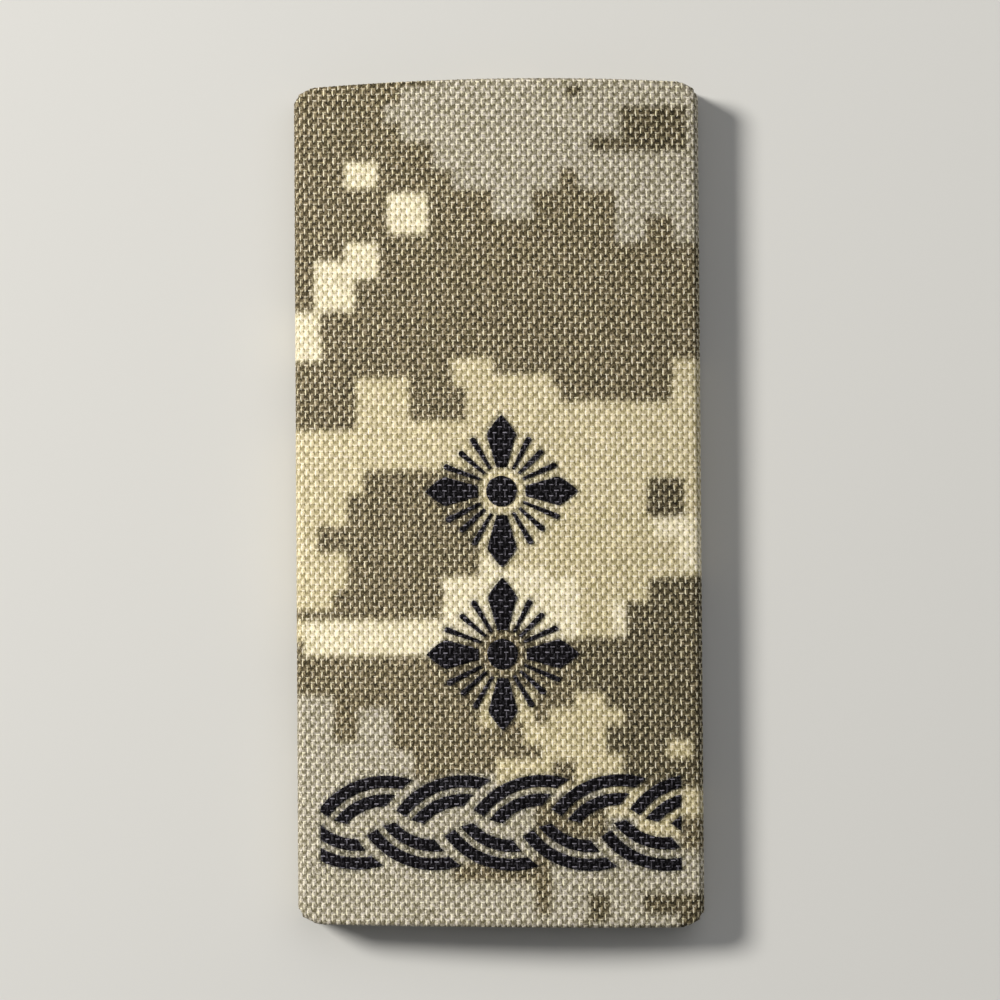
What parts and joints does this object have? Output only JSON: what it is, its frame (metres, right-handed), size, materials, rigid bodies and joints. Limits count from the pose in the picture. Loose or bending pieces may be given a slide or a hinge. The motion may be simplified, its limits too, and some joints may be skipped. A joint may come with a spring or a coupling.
{
  "type": "shoulder board",
  "caption": "Slip-on shoulder board: a flat cloth sleeve, open at both ends, with black film stars and a braid band on its front.",
  "frame": {"origin": "under the middle of the board, on the surface that its back lies on", "axes": "+Y along the board from the braid's end to the stars' end, +X across it, +Z out through its front"},
  "size_m": [0.0508, 0.1064, 0.0087],
  "materials": {
    "cloth": "plain-woven synthetic cloth with a printed camouflage of small squares",
    "film": "satin black heat-pressed film with a fine woven emboss"
  },
  "bodies": {
    "root": {"sleeve": "cloth", "star_upper_disc": "film", "star_upper_points": "film", "star_upper_rays": "film", "star_lower_disc": "film", "star_lower_points": "film", "star_lower_rays": "film", "braid_upper_strands": "film", "braid_lower_strands": "film"}
  },
  "joints": []
}
